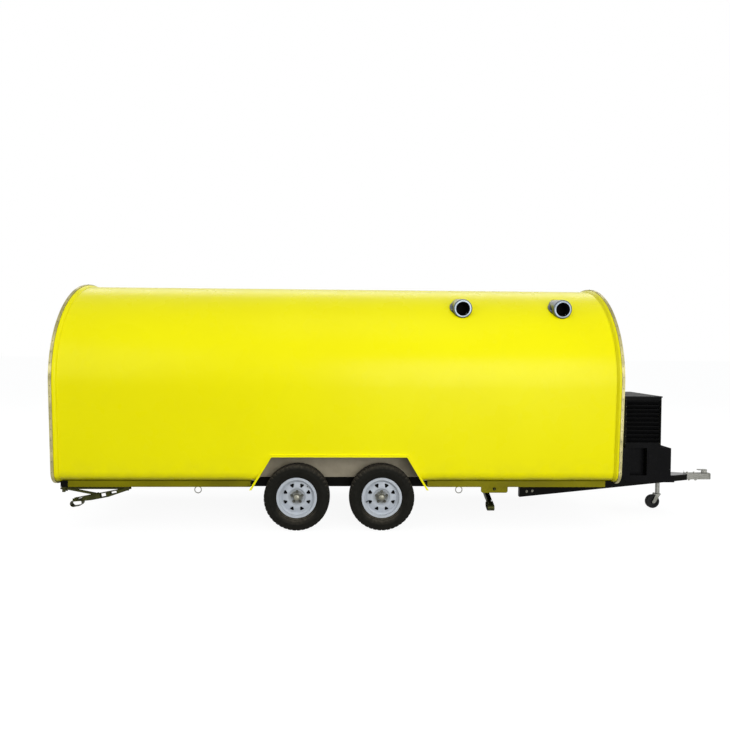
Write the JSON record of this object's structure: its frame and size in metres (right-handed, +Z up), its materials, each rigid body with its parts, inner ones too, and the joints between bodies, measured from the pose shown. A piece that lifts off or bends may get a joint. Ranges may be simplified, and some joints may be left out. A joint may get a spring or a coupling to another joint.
{
  "type": "food trailer",
  "caption": "Round-roofed two-axle food trailer with a serving hatch, rear door, roof vents, corner steadies and a generator case on its drawbar.",
  "frame": {"origin": "on the ground, midway along the overall length and on the middle line", "axes": "+X towards the tow coupling, +Y to the trailer's left, +Z up"},
  "size_m": [7.392, 2.1, 2.5918],
  "materials": {
    "body_paint": "glossy paint on sheet",
    "trim_metal": "satin, riveted",
    "frame_paint": "satin black paint",
    "case_paint": "powder coat",
    "stainless": "polished stainless sheet",
    "galvanised": "zinc coating",
    "floor_ply": "sealed board",
    "box_grey": "grey undercoat",
    "wheel_white": "gloss white paint",
    "hub_grey": "machined and oiled",
    "tyre": "matte",
    "wheel_rubber": "matte",
    "lamp_red": "moulded lens",
    "handle_black": "satin black"
  },
  "bodies": {
    "trailer": {"arch_lips": "body_paint", "axle_arms": "frame_paint", "axles": "frame_paint", "brake_plates": "frame_paint", "coupler": "galvanised", "coupler_latch": "galvanised", "cross_members": "frame_paint", "drawbar": "frame_paint", "edge_trims": "trim_metal", "floor_board": "floor_ply", "front_wall": "body_paint", "generator_block": "case_paint", "generator_case": "case_paint", "generator_stand": "case_paint", "jockey_tube": "galvanised", "main_beams": "frame_paint", "panel_hinges": "stainless", "rear_wall": "body_paint", "roof_vents": "stainless", "shell_left": "body_paint", "shell_right": "body_paint", "side_rails": "body_paint", "steady_bases": "galvanised", "steady_plates": "body_paint", "strut_feet": "galvanised", "tail_lamps": "lamp_red", "tie_rings": "galvanised", "wheel_boxes": "box_grey"},
    "wheel_rear_right": {"tyre_rear_right": "tyre", "rim_rear_right": "wheel_white", "hub_rear_right": "hub_grey"},
    "wheel_rear_left": {"tyre_rear_left": "tyre", "rim_rear_left": "wheel_white", "hub_rear_left": "hub_grey"},
    "wheel_front_right": {"tyre_front_right": "tyre", "rim_front_right": "wheel_white", "hub_front_right": "hub_grey"},
    "wheel_front_left": {"tyre_front_left": "tyre", "rim_front_left": "wheel_white", "hub_front_left": "hub_grey"},
    "steady_leg_rear_right": {"steady_leg_rear_right": "galvanised"},
    "steady_strut_rear_right": {"steady_strut_rear_right": "galvanised"},
    "steady_leg_rear_left": {"steady_leg_rear_left": "galvanised"},
    "steady_strut_rear_left": {"steady_strut_rear_left": "galvanised"},
    "steady_leg_front_right": {"steady_leg_front_right": "galvanised"},
    "steady_strut_front_right": {"steady_strut_front_right": "galvanised"},
    "steady_leg_front_left": {"steady_leg_front_left": "galvanised"},
    "steady_strut_front_left": {"steady_strut_front_left": "galvanised"},
    "jockey_stem": {"jockey_stem": "galvanised"},
    "jockey_fork": {"jockey_fork": "galvanised"},
    "jockey_wheel": {"jockey_wheel": "wheel_rubber"},
    "door": {"door": "body_paint", "door_handle": "handle_black"},
    "hatch": {"hatch": "body_paint"},
    "strut_barrels": {"strut_barrels": "handle_black"},
    "strut_rods": {"strut_rods": "stainless"},
    "shelf": {"shelf": "trim_metal"},
    "generator_lid": {"generator_lid": "case_paint"}
  },
  "joints": [
    {"name": "wheel_rear_right_spin", "type": "hinge", "parent": "trailer", "child": "wheel_rear_right", "pos_m": [-1.1825, -0.84706, 0.34], "axis": [0, 1, 0], "continuous": true},
    {"name": "wheel_rear_left_spin", "type": "hinge", "parent": "trailer", "child": "wheel_rear_left", "pos_m": [-1.1825, 0.84706, 0.34], "axis": [0, 1, 0], "continuous": true},
    {"name": "wheel_front_right_spin", "type": "hinge", "parent": "trailer", "child": "wheel_front_right", "pos_m": [-0.3055, -0.84706, 0.34], "axis": [0, 1, 0], "continuous": true},
    {"name": "wheel_front_left_spin", "type": "hinge", "parent": "trailer", "child": "wheel_front_left", "pos_m": [-0.3055, 0.84706, 0.34], "axis": [0, 1, 0], "continuous": true},
    {"name": "jockey_lift", "type": "slide", "parent": "trailer", "child": "jockey_stem", "axis": [0, 0, 1], "range_m": [0, 0.12]},
    {"name": "jockey_swivel", "type": "hinge", "parent": "jockey_stem", "child": "jockey_fork", "pos_m": [3.056, 0, 0.176], "axis": [0, 0, 1], "continuous": true},
    {"name": "jockey_wheel_spin", "type": "hinge", "parent": "jockey_fork", "child": "jockey_wheel", "pos_m": [2.994, 0, 0.08], "axis": [0, 1, 0], "continuous": true},
    {"name": "steady_rear_right_fold", "type": "hinge", "parent": "trailer", "child": "steady_leg_rear_right", "pos_m": [-2.916, -0.87009, 0.428], "axis": [0, -1, 0], "range_deg": [-8, 28.2]},
    {"name": "steady_rear_right_push", "type": "hinge", "parent": "steady_leg_rear_right", "child": "steady_strut_rear_right", "pos_m": [-3.22521, -0.87009, 0.3679], "axis": [0, 1, 0], "range_deg": [-16.1, 56.5]},
    {"name": "steady_rear_left_fold", "type": "hinge", "parent": "trailer", "child": "steady_leg_rear_left", "pos_m": [-2.916, 0.87009, 0.428], "axis": [0, -1, 0], "range_deg": [-8, 28.2]},
    {"name": "steady_rear_left_push", "type": "hinge", "parent": "steady_leg_rear_left", "child": "steady_strut_rear_left", "pos_m": [-3.22521, 0.87009, 0.3679], "axis": [0, 1, 0], "range_deg": [-16.1, 56.5]},
    {"name": "steady_front_right_fold", "type": "hinge", "parent": "trailer", "child": "steady_leg_front_right", "pos_m": [0.869, -0.23209, 0.428], "axis": [1, 0, 0], "range_deg": [-17, 19.2]},
    {"name": "steady_front_right_push", "type": "hinge", "parent": "steady_leg_front_right", "child": "steady_strut_front_right", "pos_m": [0.869, -0.5281, 0.32026], "axis": [-1, 0, 0], "range_deg": [-34.1, 38.5]},
    {"name": "steady_front_left_fold", "type": "hinge", "parent": "trailer", "child": "steady_leg_front_left", "pos_m": [0.869, 0.23209, 0.428], "axis": [-1, 0, 0], "range_deg": [-17, 19.2]},
    {"name": "steady_front_left_push", "type": "hinge", "parent": "steady_leg_front_left", "child": "steady_strut_front_left", "pos_m": [0.869, 0.5281, 0.32026], "axis": [1, 0, 0], "range_deg": [-34.1, 38.5]},
    {"name": "door_swing", "type": "hinge", "parent": "trailer", "child": "door", "pos_m": [-3.65, 0.35, 0.577], "axis": [0, 0, -1], "range_deg": [0, 110]},
    {"name": "hatch_lift", "type": "hinge", "parent": "trailer", "child": "hatch", "pos_m": [-0.586, 0.79362, 2.20793], "axis": [1, 0, 0], "range_deg": [0, 85]},
    {"name": "strut_swing", "type": "hinge", "parent": "trailer", "child": "strut_barrels", "pos_m": [-0.586, 0.92706, 1.417], "axis": [-1, 0, 0], "range_deg": [-0.05, 20.64]},
    {"name": "strut_extend", "type": "slide", "parent": "strut_barrels", "child": "strut_rods", "axis": [0, -0.2077, 0.9782], "range_m": [-0.0002, 0.24598]},
    {"name": "shelf_fold", "type": "hinge", "parent": "trailer", "child": "shelf", "pos_m": [-0.586, 1.02884, 1.207], "axis": [1, 0, 0], "range_deg": [0, 90]},
    {"name": "generator_lid_lift", "type": "hinge", "parent": "trailer", "child": "generator_lid", "pos_m": [2.457, 0, 1.3583], "axis": [0, -1, 0], "range_deg": [0, 85]}
  ],
  "couplings": [
    {"joint": "steady_rear_right_push", "follows": "steady_rear_right_fold", "ratio": 2},
    {"joint": "steady_rear_left_push", "follows": "steady_rear_left_fold", "ratio": 2},
    {"joint": "steady_front_right_push", "follows": "steady_front_right_fold", "ratio": 2},
    {"joint": "steady_front_left_push", "follows": "steady_front_left_fold", "ratio": 2},
    {"joint": "strut_swing", "follows": "hatch_lift", "ratio": 0.24221},
    {"joint": "strut_extend", "follows": "hatch_lift", "m_per_rad": 0.16567}
  ]
}
